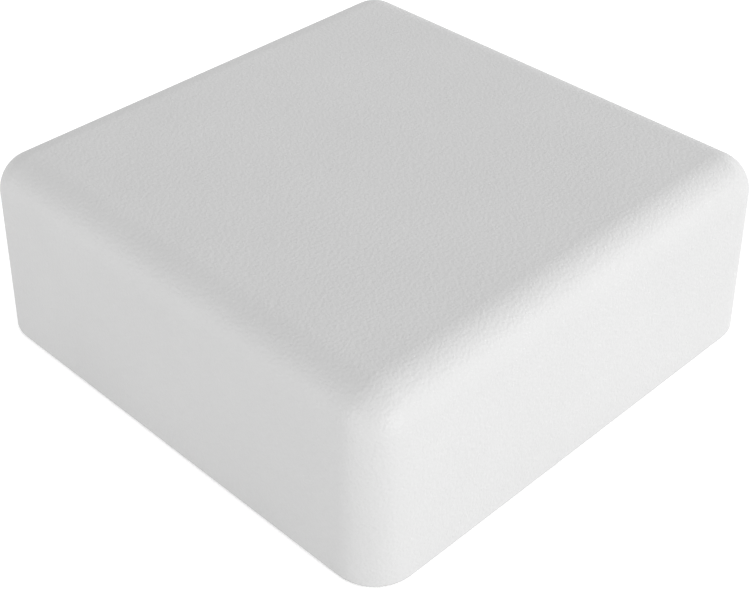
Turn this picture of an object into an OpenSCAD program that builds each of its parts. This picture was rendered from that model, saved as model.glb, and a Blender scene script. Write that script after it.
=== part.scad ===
// Battery powered position tracker: a drafted, rounded box whose one piece cover closes over a
// screwed base, with the board hanging in the cover and the battery lying on the base.
// Millimetres, +Z up, origin in the middle of the underside. The back wall (+Y) carries the port.

/* [Case] */
// Width of the case at its foot
case_w = 70; // [68:0.5:100]
// Depth of the case at its foot
case_d = 70; // [68:0.5:100]
// Height of the case
case_h = 25.6; // [25:0.1:34]
// Radius of the standing corners and of the top edges
corner_r = 5; // [4.4:0.1:7]
// Radius of the rounding round the foot
foot_r = 0.6; // [0.3:0.1:1]
// How far each side leans in between the foot and the top
side_lean = 0.85; // [0.3:0.05:1.4]
// Thickness of the walls and of the top
wall = 2.2; // [1.8:0.1:2.6]

/* [Base] */
// Thickness of the base plate
base_t = 2.4; // [2:0.1:3]
// Height of the rim that stands on the base plate inside the cover
rim_h = 3.2; // [3:0.1:4]
// Thickness of that rim
rim_t = 2.8; // [2.4:0.1:3]
// Gap between the rim and the cover's wall at the rim's top
rim_gap = 0.1; // [0.05:0.01:0.2]
// Thickness of the seal ring's round cord
seal_d = 1.6; // [1.2:0.1:1.8]
// Length of the shallow bare panel in the underside
panel_w = 36; // [20:1:44]
// Width of that panel
panel_d = 22; // [12:1:40]
// Depth of that panel
panel_depth = 0.3; // [0.2:0.05:0.5]

/* [Case screws] */
// Radius of the corner bosses and of the pillars under them
boss_r = 3.4; // [3.1:0.1:3.8]
// Radius of the case screws' shank
screw_r = 0.95; // [0.8:0.05:1]
// Length of the shank under the head
screw_len = 8; // [6:0.5:10]
// Radius of the screw head
head_r = 1.9; // [1.6:0.1:2.1]
// Height of the screw head
head_h = 1.2; // [0.9:0.1:1.5]
// Radius of the threaded inserts
insert_r = 1.7; // [1.5:0.1:1.9]
// Length of the threaded inserts
insert_len = 4; // [3:0.5:5]

/* [Board] */
// Thickness of the circuit board
board_t = 1.6; // [1:0.1:2]
// Gap between the board's edge and the cover's wall
board_gap = 0.9; // [0.6:0.1:1.5]
// Radius of the posts that the board hangs from
post_r = 2.3; // [2:0.1:2.6]
// Radius of the board screws' shank
board_screw_r = 0.8; // [0.7:0.05:0.9]
// Length of the board screws' shank under the head
board_screw_len = 5.5; // [4:0.5:7]

/* [Battery] */
// Room between each end of the battery pack and the foot of the case's side
battery_end_room = 6; // [5.75:0.25:10]
// Room between each long side of the battery pack and the foot of the case's side
battery_side_room = 12; // [11:0.5:16]
// Thickness of the battery pack
battery_t = 10; // [9:0.1:12]
// Thickness of the foam pads over and under the pack
pad_t = 0.8; // [0.5:0.1:1.2]
// Radius of each battery lead over its insulation
lead_r = 0.6; // [0.4:0.05:0.7]

/* [Antennas] */
// Side of the square satellite antenna
patch_w = 25; // [18:0.5:26]
// Thickness of its ceramic block
patch_t = 4; // [2:0.1:4.8]
// Thickness of the adhesive pad under the ceramic
patch_tape_t = 0.3; // [0.1:0.05:0.5]
// Room between each end of the cellular antenna block and the foot of the case's side
cell_antenna_room = 18; // [17:0.5:22]
// Width of the cellular antenna block
cell_antenna_d = 5.4; // [4:0.1:6]
// Height of the cellular antenna block
cell_antenna_t = 3.2; // [2:0.1:4.5]

/* [Modules] */
// Width of the cellular module
modem_w = 20; // [15:0.5:22]
// Depth of the cellular module
modem_d = 18; // [14:0.5:20]
// Height of the cellular module's shield can
modem_can_h = 1.9; // [1.2:0.1:3]
// Width of the positioning module
gnss_w = 10; // [7:0.5:11]
// Height of the positioning module's shield can
gnss_can_h = 1.5; // [1:0.1:2.2]
// Side of the processor's package
processor_w = 7; // [5:0.5:8]
// Thickness of the chip packages
chip_t = 0.9; // [0.6:0.1:1.4]

/* [Port] */
// Width of the port door from its hinge axis to its free end
door_w = 24; // [22.5:0.5:27]
// Height of the port door
door_h = 8.6; // [7:0.1:9]
// Thickness of the port door
door_t = 1.3; // [1.1:0.05:1.5]
// Gap around the door's edges
door_gap = 0.2; // [0.15:0.05:0.3]
// Radius of the round knuckle that the door turns on
knuckle_r = 0.85; // [0.7:0.05:0.9]
// Radius of the trunnions at the knuckle's ends
trunnion_r = 0.5; // [0.4:0.05:0.55]
// Gap between a trunnion and its hole
trunnion_gap = 0.04; // [0.02:0.01:0.08]
// Width of the charging socket's metal shell
socket_w = 7.5; // [6.5:0.1:8.5]
// Height of the charging socket's metal shell
socket_h = 2.6; // [2.2:0.1:3]
// Depth of the charging socket's metal shell
socket_d = 5.6; // [5:0.1:6.2]
// Radius of the power button
button_r = 1.5; // [1.2:0.1:1.8]
// Travel of the power button
button_travel = 0.4; // [0.2:0.05:0.5]
// Radius of the light pipe
pipe_r = 0.9; // [0.6:0.05:1.1]

/* [Hidden] */
$fn = 48;
// Overrun of every cut past the face that it opens
over = 0.5;
// Gap between pieces that touch without being pressed together
touch = 0.05;

// Lean of the sides from upright, and the half sizes of the outside and the cavity at a height
tilt = atan(side_lean / case_h);
function half_w(z) = case_w / 2 - z * tan(tilt);
function half_d(z) = case_d / 2 - z * tan(tilt);
function cavity_half_w(z) = half_w(z) - wall / cos(tilt);
function cavity_half_d(z) = half_d(z) - wall / cos(tilt);
// Middle of the standing corner's rounding at a height
corner_inset = corner_r / cos(tilt);
function corner_x(z) = half_w(z) - corner_inset;
function corner_y(z) = half_d(z) - corner_inset;
// The runs and turns of the case meet at whole thousandths, so that their faces coincide
function snap(v) = round(v * 1000) / 1000;
edge_bulge = 0.002;
ceiling_z = case_h - wall;
shoulder_z = case_h - corner_r;

battery_w = case_w - 2 * battery_end_room;
battery_d = case_d - 2 * battery_side_room;

// Heights of the stack on the base: battery between its pads, then the board
rim_top_z = base_t + rim_h;
battery_z = base_t + pad_t;
board_z = battery_z + battery_t + pad_t;
board_top_z = board_z + board_t;

// Outline of the base inside the cover
base_half_w = cavity_half_w(rim_top_z) - rim_gap;
base_half_d = cavity_half_d(rim_top_z) - rim_gap;
base_corner_r = base_half_w - corner_x(shoulder_z);
seal_gap = 0.02;
seal_lip = 0.7;
groove_play = 0.12;
groove_h = seal_d + groove_play;
groove_z = rim_top_z - seal_lip - groove_h;
seal_z = groove_z + groove_h / 2;
seal_half_w = cavity_half_w(seal_z) - seal_gap - seal_d / 2;
seal_half_d = cavity_half_d(seal_z) - seal_gap - seal_d / 2;
groove_half_w = seal_half_w - seal_d / 2 - seal_gap;
groove_half_d = seal_half_d - seal_d / 2 - seal_gap;
panel_r = 2;
locator_h = 2.4;
locator_t = 1.2;
locator_w = 30;
locator_gap = 0.3;

// Corner bosses: the boss bites into the cover's wall at the top
boss_bite = 0.8;
boss_x = cavity_half_w(ceiling_z) - boss_r + boss_bite;
boss_y = cavity_half_d(ceiling_z) - boss_r + boss_bite;
head_gap = 0.2;
head_sink = 0.45;
screw_gap = 0.15;
hex_share = 0.5;
hex_depth_share = 0.6;
bore_tail = 1.4;
thread_gap = 0.05;

// Port on the back wall: it is level with the socket that hangs under the board
port_z = board_z - socket_h / 2 - touch;
port_y = half_d(port_z);
door_seat = 0.1;
recess_depth = door_t + door_seat;
frame_t = 1.6;
frame_side = 1.4;
button_side = 5.2;
pipe_side = 2.6;
socket_share = 0.35;
frame_y = cavity_half_d(port_z) - frame_t;
hinge_x = -door_w / 2;
door_swing = 100;
// The open door's outer face reaches this far past its axis
swing_room = knuckle_r * tan(door_swing / 2) + door_gap / 2;
trunnion_len = 0.8;
door_corner_r = 1.6;
nail_r = 5;
nail_depth = 1;

// What sits behind the door, from the hinge to the free end
socket_x = hinge_x + door_w * socket_share;
button_x = socket_x + socket_w / 2 + button_side;
pipe_x = button_x + button_r + pipe_side;
pocket_side = 1.4;
pocket_half_h = socket_h / 2 + pocket_side;
pocket_depth = 1;
socket_front_y = port_y - recess_depth - pocket_depth - touch;
socket_back_y = socket_front_y - socket_d;
socket_wall = 0.3;
socket_back = 1;
key_share = 0.42;
tongue_w = socket_w / 2;
tongue_t = 0.55;
contact_t = 0.12;
contacts = 5;
hole_gap = 0.1;
led_w = 1.8;
led_d = 1.3;
lens_r = 0.5;

// Power button, its switch and the board's back edge
flange_t = 0.6;
flange_side = 0.7;
flange_half_h = socket_h / 2 - touch;
flange_y = frame_y - touch;
board_back_y = flange_y - flange_t - button_travel - 2 * touch;
board_half_w = cavity_half_w(board_top_z) - board_gap;
board_front_y = -(cavity_half_d(board_top_z) - board_gap);
switch_w = 6;
switch_d = 3.5;
switch_set_back = 0.3;
switch_front_y = board_back_y - switch_set_back;
plunger_w = 2.4;
plunger_h = 1.2;
plunger_out = switch_set_back + button_travel;
plunger_in = 1;
button_tail_y = switch_front_y + plunger_out + touch;

// Board outline and fixings
notch_gap = 0.4;
notch_x = boss_x - boss_r - notch_gap;
notch_y = boss_y - boss_r - notch_gap;
post_edge = 3;
post_x = notch_x - post_edge;
post_front_y = board_front_y + post_edge;
post_back_y = board_back_y - post_edge;
board_screw_head_r = 1.5;
board_screw_head_h = 1;
POSTS = [
    [post_x, post_front_y], [-post_x, post_front_y],
    [post_x, post_back_y], [-post_x, post_back_y]
];
BOSSES = [
    [boss_x, boss_y], [-boss_x, boss_y], [-boss_x, -boss_y], [boss_x, -boss_y]
];

// Places on top of the board, each worked out from its neighbours
part_gap = 1;
patch_x = -(part_gap + patch_w / 2);
patch_back = post_edge + post_r + part_gap;
patch_y = board_back_y - patch_back - patch_w / 2;
patch_z = board_top_z + patch_tape_t;
patch_corner_r = 0.8;
electrode_share = 0.74;
electrode_t = 0.12;
feed_share = 0.09;
pin_r = 0.45;
pin_gap = 0.05;
pin_cap_r = 1;
pin_cap_t = 0.25;
modem_x = part_gap + modem_w / 2;
modem_y = patch_y + patch_w / 2 - modem_d / 2;
module_base_t = 0.8;
can_side = 0.5;
can_t = 0.2;
can_corner_r = 0.6;
vent_r = 0.35;
vent_side = 1;
cell_antenna_edge = 0.5;
cell_antenna_w = case_w - 2 * cell_antenna_room;
cell_antenna_y = board_front_y + cell_antenna_d / 2 + cell_antenna_edge;
track_t = 0.1;
track_share = 0.16;
track_folds = 6;
row_y = patch_y - patch_w / 2 - part_gap - gnss_w / 2;
processor_x = -2;
gnss_side = 3;
gnss_x = processor_x - processor_w / 2 - gnss_side - gnss_w / 2;
land_len = 0.3;
land_w = 0.26;
land_t = 0.2;
processor_lands = 8;
small_lands = 4;
dot_share = 0.06;
dot_place_share = 0.3;
sim_w = 6;
sim_d = 5;
sim_x = gnss_x - gnss_w / 2 - part_gap - sim_w / 2;
sensor_w = 3;
sensor_x = processor_x + processor_w / 2 + part_gap + sensor_w / 2;
charger_w = 4;
inductor_w = 4;
inductor_t = 2;
round_share = 0.2;
dimple_share = 0.3;
capacitor_w = 7.3;
capacitor_d = 4.3;
capacitor_t = 2.8;
tab_t = 0.15;
tab_share = 0.55;
crystal_w = 3.2;
crystal_d = 2.5;
crystal_t = 0.8;
passive_w = 1;
passive_d = 0.5;
passive_t = 0.5;
passive_end_share = 0.25;

// Battery details
battery_half_w = battery_w / 2;
end_board_w = 3.6;
end_board_t = 1;
cell_w = battery_w - end_board_w - touch;
cell_edge_r = 2;
seam_t = 0.6;
seam_share = 0.76;
end_board_share = 0.8;
tape_share = 0.84;
tape_t = 0.1;
tape_lap = 7;
pad_side = 4;
pad_gap = 1;

// Battery plug and header, hanging under the board's front edge
header_w = 4.6;
header_d = 6;
header_t = 4.4;
header_wall = 0.6;
header_x = 6;
header_side = 1.6;
header_y = -(battery_d / 2 + header_d / 2 + header_side);
header_z = board_z - header_t;
plug_w = 5.4;
plug_in = 3;
plug_gap = 0.1;
header_pin_r = 0.25;
lead_pitch = 2;
plug_x = header_x + header_w - plug_in;
lead_z = header_z + header_t / 2;
lead_start_z = battery_z + battery_t / 2;
lead_turn = [0.6, 1.4, 0.8];
lead_slope = [4.6, 0, 1];
lead_bend = [
    battery_half_w - end_board_w / 2 - lead_turn.x, -battery_d / 2 - lead_turn.y, lead_start_z + lead_turn.z
];
lead_run = [lead_bend.x, header_y, lead_z] - lead_slope;
lead_straight = 3;
lead_sides = 8;
lead_steps = 5;
bend_share = 0.7;

module rounded_block(hw, hd, r, h) {
    translate([-(hw - r), -hd, 0]) cube([2 * (hw - r), 2 * hd, h]);
    translate([-hw, -(hd - r), 0]) cube([2 * hw, 2 * (hd - r), h]);
    for (x = [-1, 1], y = [-1, 1])
        translate([x * (hw - r), y * (hd - r), 0]) cylinder(r = r, h = h);
}

module centred_box(w, d, h) {
    translate([-w / 2, -d / 2, 0]) cube([w, d, h]);
}

// Half of the case's section, from the roundings' middle outward: a leaning side under a quarter
// round that stands edge_bulge proud of it, with the foot's own rounding of radius toe
module half_section(r, foot_z, toe) {
    brim = shoulder_z + r * sin(tilt);
    flank = r * cos(tilt) - edge_bulge;
    foot = flank + (brim - foot_z) * tan(tilt);
    toe_h = toe * (1 + sin(tilt));
    toe_x = foot - toe_h / cos(tilt);
    difference() {
        polygon([[0, foot_z], [foot, foot_z], [flank, brim], [0, brim]]);
        if (toe > 0) difference() {
            translate([toe_x, foot_z - over]) square([r, over + toe_h]);
            translate([toe_x, foot_z + toe]) circle(r = toe);
        }
    }
    translate([0, shoulder_z]) intersection() {
        circle(r = r);
        square(2 * r);
    }
}

// The case's rounded solid from foot_z up, r outside the roundings' middles: a block, a straight
// run along each side and a quarter turn at each corner, all joined face to face
module rounded_case(r, foot_z, toe) {
    x = snap(corner_x(shoulder_z));
    y = snap(corner_y(shoulder_z));
    translate([-x, -y, foot_z]) cube([2 * x, 2 * y, shoulder_z + r - foot_z]);
    for (side = [0, 180]) rotate(side) {
        translate([x, y, 0]) rotate([90, 0, 0]) linear_extrude(2 * y) half_section(r, foot_z, toe);
        rotate(90) translate([y, x, 0]) rotate([90, 0, 0]) linear_extrude(2 * x) half_section(r, foot_z, toe);
        translate([x, y, 0]) rotate_extrude(angle = 90) half_section(r, foot_z, toe);
        translate([x, -y, 0]) rotate(-90) rotate_extrude(angle = 90) half_section(r, foot_z, toe);
    }
}

// Frame on the back wall: X as the case, Y out of the leaning wall, Z up along it
module on_back_wall() {
    translate([0, port_y, port_z]) rotate([tilt, 0, 0]) children();
}

module port_recess() {
    on_back_wall() {
        half = door_h / 2 + door_gap;
        free_x = hinge_x + door_w + door_gap;
        r = door_corner_r + door_gap;
        // Main recess with round free corners
        translate([hinge_x - swing_room, -recess_depth, -half])
            cube([free_x - r - hinge_x + swing_room, recess_depth + over, 2 * half]);
        translate([hinge_x, -recess_depth, -(half - r)])
            cube([free_x - hinge_x, recess_depth + over, 2 * (half - r)]);
        for (z = [-1, 1]) translate([free_x - r, over, z * (half - r)]) rotate([90, 0, 0])
            cylinder(r = r, h = recess_depth + over);
        // Trough and holes for the knuckle and its trunnions
        translate([hinge_x, -knuckle_r, -half]) cylinder(r = knuckle_r + door_seat, h = 2 * half);
        translate([hinge_x, -knuckle_r, -(door_h / 2 + trunnion_len + door_gap)])
            cylinder(r = trunnion_r + trunnion_gap, h = door_h + 2 * (trunnion_len + door_gap));
        // Scoop for a fingernail at the free end
        translate([free_x, nail_r - nail_depth, 0]) sphere(r = nail_r);
    }
}

module port_holes() {
    // Pocket round the socket's mouth and the hole that its shell passes
    translate([socket_x, socket_front_y, port_z]) rotate([-90, 0, 0])
        rounded_block(socket_w / 2 + pocket_side, pocket_half_h, pocket_side,
            recess_depth + pocket_depth + 2 * over);
    translate([socket_x - socket_w / 2 - hole_gap, frame_y - over, port_z - socket_h / 2 - hole_gap])
        cube([socket_w + 2 * hole_gap, frame_t + wall, socket_h + 2 * hole_gap]);
    translate([button_x, frame_y - over, port_z]) rotate([-90, 0, 0])
        cylinder(r = button_r + touch, h = frame_t + wall + over);
    translate([pipe_x, frame_y - over, port_z]) rotate([-90, 0, 0])
        cylinder(r = pipe_r + touch, h = frame_t + wall + over);
}

module top_cover() {
    color("gainsboro") difference() {
        rounded_case(corner_r, 0, foot_r);
        // The cavity leaves the bosses, the posts and the port's frame standing
        difference() {
            rounded_case(corner_r - wall, -over, 0);
            for (p = BOSSES) translate([p.x, p.y, rim_top_z]) cylinder(r = boss_r, h = case_h);
            for (p = POSTS) translate([p.x, p.y, board_top_z]) cylinder(r = post_r, h = case_h);
            translate([
                hinge_x - swing_room - frame_side, frame_y,
                port_z - door_h / 2 - trunnion_len - frame_side
            ])
                cube([
                    door_w + swing_room + 2 * frame_side, case_d,
                    door_h + 2 * (trunnion_len + frame_side)
                ]);
        }
        for (p = BOSSES) translate([p.x, p.y, rim_top_z - over])
            cylinder(r = insert_r + seal_gap, h = over + max(insert_len, screw_len - rim_top_z) + bore_tail);
        for (p = POSTS) translate([p.x, p.y, board_top_z - over])
            cylinder(r = board_screw_r + thread_gap, h = board_screw_len - board_t + over + bore_tail / 2);
        port_recess();
        port_holes();
    }
}

module base_cover() {
    color("gainsboro") difference() {
        rounded_block(base_half_w, base_half_d, base_corner_r, rim_top_z);
        // The tray inside the rim leaves the pillars and the battery's locating ribs standing
        difference() {
            translate([-(base_half_w - rim_t), -(base_half_d - rim_t), base_t])
                cube([2 * (base_half_w - rim_t), 2 * (base_half_d - rim_t), rim_h + over]);
            for (p = BOSSES) translate([p.x, p.y, 0]) cylinder(r = boss_r, h = case_h);
            for (y = [-1, 1])
                translate([
                    -locator_w / 2, y * (battery_d / 2 + locator_gap + locator_t / 2) - locator_t / 2, 0
                ])
                    cube([locator_w, locator_t, base_t + locator_h]);
        }
        translate([0, 0, groove_z]) difference() {
            rounded_block(base_half_w + over, base_half_d + over, base_corner_r + over, groove_h);
            translate([0, 0, -over]) rounded_block(groove_half_w, groove_half_d,
                groove_half_w - corner_x(shoulder_z), groove_h + 2 * over);
        }
        for (p = BOSSES) translate([p.x, p.y, -over]) {
            cylinder(r = screw_r + screw_gap, h = case_h);
            cylinder(r = head_r + head_gap, h = over + head_sink + head_h);
        }
        translate([0, 0, -over]) rounded_block(panel_w / 2, panel_d / 2, panel_r, over + panel_depth);
    }
}

// Seal ring in the rim's groove, with a quarter turn at each corner that stands edge_bulge proud
module cover_seal() {
    x = snap(corner_x(shoulder_z));
    y = snap(corner_y(shoulder_z));
    r = snap(seal_half_w - x);
    color("dimgray") translate([0, 0, seal_z]) for (side = [0, 180]) rotate(side) {
        translate([x + r, y, 0]) rotate([90, 0, 0]) cylinder(r = seal_d / 2 - edge_bulge, h = 2 * y);
        rotate(90) translate([y + r, x, 0]) rotate([90, 0, 0])
            cylinder(r = seal_d / 2 - edge_bulge, h = 2 * x);
        translate([x, y, 0]) rotate_extrude(angle = 90) translate([r, 0]) circle(r = seal_d / 2);
        translate([x, -y, 0]) rotate(-90) rotate_extrude(angle = 90) translate([r, 0]) circle(r = seal_d / 2);
    }
}

// A screw along +Z whose head's bearing face is at z = 0 and whose head hangs under it
module screw(shank_r, shank_len, cap_r, cap_h) {
    difference() {
        union() {
            translate([0, 0, -cap_h]) cylinder(r = cap_r, h = cap_h);
            cylinder(r = shank_r, h = shank_len);
        }
        translate([0, 0, -cap_h - over])
            cylinder(r = cap_r * hex_share, h = over + cap_h * hex_depth_share, $fn = 6);
    }
}

module case_screws() {
    color("silver") for (p = BOSSES) translate([p.x, p.y, head_sink + head_h])
        screw(screw_r, screw_len, head_r, head_h);
}

module threaded_inserts() {
    color("goldenrod") for (p = BOSSES) translate([p.x, p.y, rim_top_z]) difference() {
        cylinder(r = insert_r, h = insert_len);
        translate([0, 0, -over]) cylinder(r = screw_r + thread_gap, h = insert_len + 2 * over);
    }
}

module main_board() {
    color("seagreen") difference() {
        translate([-board_half_w, board_front_y, board_z])
            cube([2 * board_half_w, board_back_y - board_front_y, board_t]);
        for (x = [-1, 1], y = [-1, 1]) translate([x * case_w / 2, y * case_d / 2, board_z - over])
            centred_box(case_w - 2 * notch_x, case_d - 2 * notch_y, board_t + 2 * over);
        for (p = POSTS) translate([p.x, p.y, board_z - over])
            cylinder(r = board_screw_r + screw_gap, h = board_t + 2 * over);
        translate([patch_x, patch_y - patch_w * feed_share, board_z - over])
            cylinder(r = pin_r + pin_gap, h = board_t + 2 * over);
    }
}

module board_screws() {
    color("silver") for (p = POSTS) translate([p.x, p.y, board_z])
        screw(board_screw_r, board_screw_len, board_screw_head_r, board_screw_head_h);
}

module at_patch(z) {
    translate([patch_x, patch_y, z]) children();
}

module feed_hole(z, h) {
    translate([patch_x, patch_y - patch_w * feed_share, z - over])
        cylinder(r = pin_r + pin_gap, h = h + 2 * over);
}

module antenna_tape() {
    color("white") difference() {
        at_patch(board_top_z) centred_box(patch_w - part_gap, patch_w - part_gap, patch_tape_t);
        feed_hole(board_top_z, patch_tape_t);
    }
}

module antenna_ceramic() {
    color("tan") difference() {
        at_patch(patch_z) rounded_block(patch_w / 2, patch_w / 2, patch_corner_r, patch_t);
        feed_hole(patch_z, patch_t);
    }
}

module antenna_electrode() {
    half = patch_w * electrode_share / 2;
    color("silver") difference() {
        at_patch(patch_z + patch_t) rounded_block(half, half, patch_corner_r, electrode_t);
        feed_hole(patch_z + patch_t, electrode_t);
    }
}

module antenna_pin() {
    top = patch_z + patch_t + electrode_t;
    color("silver") translate([patch_x, patch_y - patch_w * feed_share, board_z]) {
        cylinder(r = pin_r, h = top - board_z);
        translate([0, 0, top - board_z]) cylinder(r1 = pin_cap_r, r2 = pin_r, h = pin_cap_t);
    }
}

module cellular_antenna() {
    color("ivory") translate([0, cell_antenna_y, board_top_z])
        centred_box(cell_antenna_w, cell_antenna_d, cell_antenna_t);
}

// Folded metal track on top of the cellular antenna block
module cellular_antenna_track() {
    strip = cell_antenna_d * track_share;
    run = cell_antenna_d - 2 * strip;
    reach = cell_antenna_w / 2 - strip;
    pitch = 2 * reach / track_folds;
    color("goldenrod") translate([0, cell_antenna_y, board_top_z + cell_antenna_t]) {
        for (k = [0 : track_folds]) translate([-reach + k * pitch, 0, 0]) centred_box(strip, run, track_t);
        for (k = [0 : track_folds - 1])
            translate([-reach + k * pitch + pitch / 2, (k % 2 == 0 ? 1 : -1) * (run - strip) / 2, 0])
                centred_box(pitch, strip, track_t);
    }
}

module module_base(x, y, w, d) {
    translate([x, y, board_top_z]) centred_box(w, d, module_base_t);
}

// Pressed can, open under its top, with a few small vents
module module_can(x, y, w, d, h) {
    translate([x, y, board_top_z + module_base_t]) difference() {
        rounded_block(w / 2 - can_side, d / 2 - can_side, can_corner_r, h);
        translate([0, 0, -over]) centred_box(
            w - 2 * (can_side + can_t), d - 2 * (can_side + can_t), h - can_t + over);
        for (i = [-1, 1]) translate([i * w / 4, d / 2 - can_side - vent_side, h - can_t - over])
            cylinder(r = vent_r, h = can_t + 2 * over);
    }
}

module modem_base() {
    color("darkslategray") module_base(modem_x, modem_y, modem_w, modem_d);
}

module modem_can() {
    color("silver") module_can(modem_x, modem_y, modem_w, modem_d, modem_can_h);
}

module gnss_base() {
    color("darkslategray") module_base(gnss_x, row_y, gnss_w, gnss_w);
}

module gnss_can() {
    color("silver") module_can(gnss_x, row_y, gnss_w, gnss_w, gnss_can_h);
}

// Flat chip package with a dot at its first corner and lands that show at its edges
module chip(w, d, lands) {
    dot_r = w * dot_share;
    difference() {
        centred_box(w - land_len, d - land_len, chip_t);
        translate([-w * dot_place_share, d * dot_place_share, chip_t - dot_r]) cylinder(r = dot_r, h = over);
    }
    for (side = [-1, 1], k = [0 : lands - 1]) {
        along = (k - (lands - 1) / 2) / lands;
        translate([along * (w - 2 * land_len), side * (d - land_len) / 2, 0])
            centred_box(land_w, land_len, land_t);
        translate([side * (w - land_len) / 2, along * (d - 2 * land_len), 0])
            centred_box(land_len, land_w, land_t);
    }
}

module processor_chip() {
    color("black") translate([processor_x, row_y, board_top_z])
        chip(processor_w, processor_w, processor_lands);
}

module sim_chip() {
    color("black") translate([sim_x, row_y, board_top_z]) chip(sim_w, sim_d, small_lands);
}

module motion_sensor() {
    color("black") translate([sensor_x, row_y, board_top_z]) chip(sensor_w, sensor_w, small_lands);
}

charger_x = sensor_x + sensor_w / 2 + part_gap + charger_w / 2;
inductor_x = charger_x + charger_w / 2 + part_gap + inductor_w / 2;
capacitor_x = inductor_x + inductor_w / 2 + part_gap + capacitor_w / 2;

module charger_chip() {
    color("black") translate([charger_x, row_y, board_top_z]) chip(charger_w, charger_w, small_lands);
}

module power_inductors() {
    color("dimgray") for (y = [-1, 1])
        translate([inductor_x, row_y + y * (inductor_w + part_gap) / 2, board_top_z]) difference() {
            rounded_block(inductor_w / 2, inductor_w / 2, inductor_w * round_share, inductor_t);
            translate([0, 0, inductor_t - track_t]) cylinder(r = inductor_w * dimple_share, h = over);
        }
}

// Moulded block capacitors with a folded terminal at each end
module bulk_capacitors() {
    tab_w = capacitor_d * tab_share;
    tab_h = capacitor_t * tab_share;
    foot = capacitor_w * round_share;
    color("darkgoldenrod") for (y = [-1, 1])
        translate([capacitor_x, row_y + y * (capacitor_d + part_gap) / 2, board_top_z]) {
            translate([0, 0, tab_t]) centred_box(capacitor_w - 2 * tab_t, capacitor_d, capacitor_t - tab_t);
            for (x = [-1, 1]) {
                translate([x * (capacitor_w - tab_t) / 2, 0, 0]) centred_box(tab_t, tab_w, tab_h);
                translate([x * (capacitor_w - foot) / 2, 0, 0]) centred_box(foot, tab_w, tab_t);
            }
        }
}

// Crystal in a lidded can: the lid is a little smaller than the foot
module crystal_can() {
    r = crystal_d * round_share;
    y = row_y + sensor_w / 2 + part_gap + crystal_d / 2;
    color("silver") translate([sensor_x, y, board_top_z]) {
        rounded_block(crystal_w / 2, crystal_d / 2, r, crystal_t / 2);
        rounded_block(crystal_w / 2 - can_t, crystal_d / 2 - can_t, r, crystal_t);
    }
}

module passive() {
    centred_box(passive_w, passive_d, passive_t);
    for (x = [-1, 1]) translate([x * passive_w * (1 - passive_end_share) / 2, 0, 0])
        centred_box(passive_w * passive_end_share, passive_d + 2 * touch, passive_t + touch);
}

// Rows of chip resistors and capacitors beside the modem, the sensor and the positioning module
module chip_passives() {
    pitch = 2 * passive_w;
    color("tan") {
        for (k = [-3 : 3]) translate([modem_x + k * pitch, modem_y - modem_d / 2 - part_gap, board_top_z])
            rotate(90) passive();
        for (k = [-2 : 2])
            translate([gnss_x + k * pitch, row_y - gnss_w / 2 - part_gap / 2, board_top_z]) passive();
        for (k = [0, 1]) {
            translate([charger_x, row_y + charger_w / 2 + part_gap + k * pitch, board_top_z]) passive();
            translate([sensor_x, row_y + sensor_w / 2 + crystal_d + 2 * part_gap + k * pitch, board_top_z])
                passive();
        }
    }
}

// Pouch cell with round long edges, and the flat seam that its end board is folded over
module battery_cell() {
    half = battery_d / 2 - cell_edge_r;
    mid = battery_t / 2;
    color("lightsteelblue") translate([-battery_half_w, 0, battery_z]) {
        translate([0, -half, 0]) cube([cell_w, 2 * half, battery_t]);
        translate([0, -battery_d / 2, cell_edge_r]) cube([cell_w, battery_d, battery_t - 2 * cell_edge_r]);
        for (y = [-1, 1], z = [cell_edge_r, battery_t - cell_edge_r])
            translate([0, y * half, z]) rotate([0, 90, 0]) cylinder(r = cell_edge_r, h = cell_w);
        translate([cell_w - over, -battery_d * seam_share / 2, mid - end_board_t / 2 - seam_t - touch])
            cube([over + end_board_w - seam_t, battery_d * seam_share, seam_t]);
    }
}

module battery_end_board() {
    len = battery_d * end_board_share;
    color("darkgreen") translate([battery_half_w - end_board_w / 2, 0, lead_start_z - end_board_t / 2]) {
        centred_box(end_board_w, len, end_board_t);
        for (y = [-1 : 1]) translate([0, y * len / 4, end_board_t])
            centred_box(end_board_w / 2, sensor_w, chip_t);
    }
}

// Tape that wraps the end board and laps onto both faces of the cell
module battery_tape() {
    wrap = battery_half_w - end_board_w - tape_lap;
    len = battery_d * tape_share;
    color("goldenrod") difference() {
        translate([wrap, -len / 2, battery_z - tape_t])
            cube([tape_lap + end_board_w + tape_t + touch, len, battery_t + 2 * tape_t]);
        translate([wrap - over, -battery_d / 2, battery_z])
            cube([tape_lap + end_board_w + over + touch, battery_d, battery_t]);
    }
}

module battery_pad(z, h) {
    right = battery_half_w - end_board_w - tape_lap - pad_gap;
    left = -battery_half_w + pad_side;
    translate([(left + right) / 2, 0, z]) centred_box(right - left, battery_d - 2 * pad_side, h);
}

module battery_pad_lower() {
    color("gray") battery_pad(base_t, pad_t);
}

module battery_pad_upper() {
    color("gray") battery_pad(battery_z + battery_t, pad_t);
}

// Smooth curve through hand chosen points, and a tube swept along it
function lead_point(p, t, k) = (
    2 * p[k] + (p[k + 1] - p[k - 1]) * t
    + (2 * p[k - 1] - 5 * p[k] + 4 * p[k + 1] - p[k + 2]) * t * t
    + (3 * p[k] - p[k - 1] - 3 * p[k + 1] + p[k + 2]) * t * t * t) / 2;
function lead_curve(p, steps) = [
    for (k = [1 : len(p) - 3], s = [0 : steps - 1]) lead_point(p, s / steps, k),
    p[len(p) - 2]
];
function unit(v) = v / norm(v);
function ring_at(c, dir, r) = let(
    side = unit(cross(dir, [0, 0, 1])),
    up = cross(side, dir),
    turn = 360 / lead_sides
) [for (k = [0 : lead_sides - 1]) c + r * (cos(turn * k) * side + sin(turn * k) * up)];

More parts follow.
